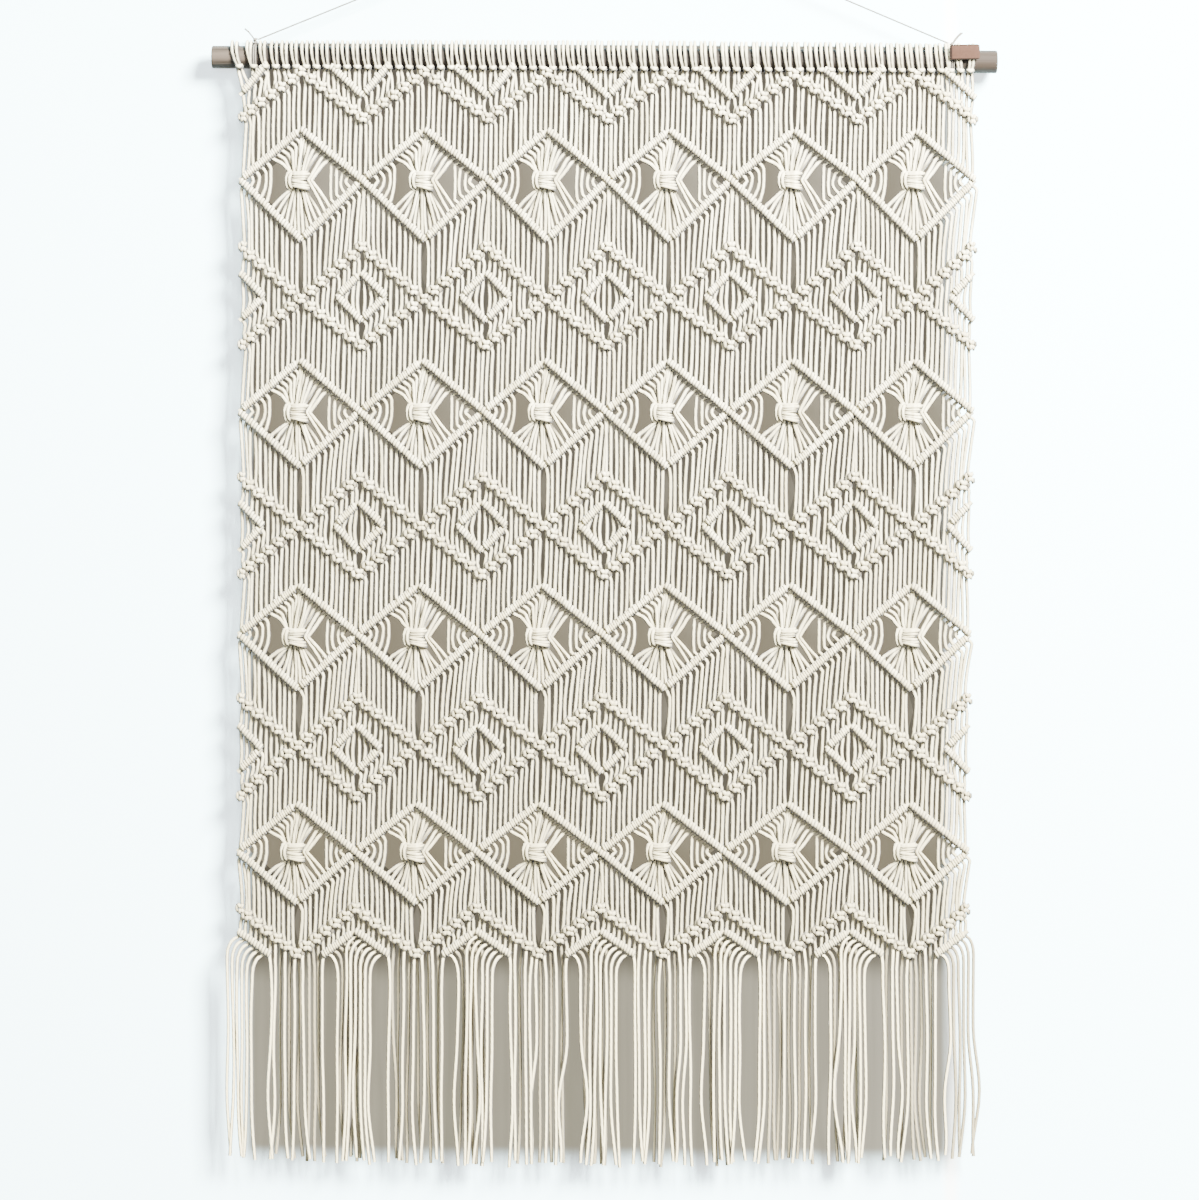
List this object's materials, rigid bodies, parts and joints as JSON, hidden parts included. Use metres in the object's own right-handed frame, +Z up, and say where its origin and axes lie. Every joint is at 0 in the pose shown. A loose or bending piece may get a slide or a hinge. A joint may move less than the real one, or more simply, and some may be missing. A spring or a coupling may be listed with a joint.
{
  "type": "macrame wall hanging on a wooden dowel",
  "caption": "Knotted cotton cord panel with large and small diamonds and a long fringe, tied on a wooden dowel that hangs by a twine from one nail",
  "frame": {"origin": "the point where the hanging cord passes over its nail in the wall", "axes": "+Z up, the front of the panel faces -Y and the wall is on +Y, +X along the dowel to the right as seen from the front"},
  "size_m": [0.9442, 0.0424, 1.5214],
  "materials": {
    "cotton_cord": "matt cream-white twisted cotton",
    "dowel_wood": "weathered grey-brown, unvarnished",
    "hanging_twine": "thin natural twine",
    "tag_leather": "smooth tan leather, bare"
  },
  "bodies": {
    "root": {"dowel": "dowel_wood", "heading": "cotton_cord", "panel": "cotton_cord", "fringe": "cotton_cord", "hanging_cord": "hanging_twine", "twine_knot_left": "hanging_twine", "twine_knot_right": "hanging_twine", "leather_tag": "tag_leather"}
  },
  "joints": []
}
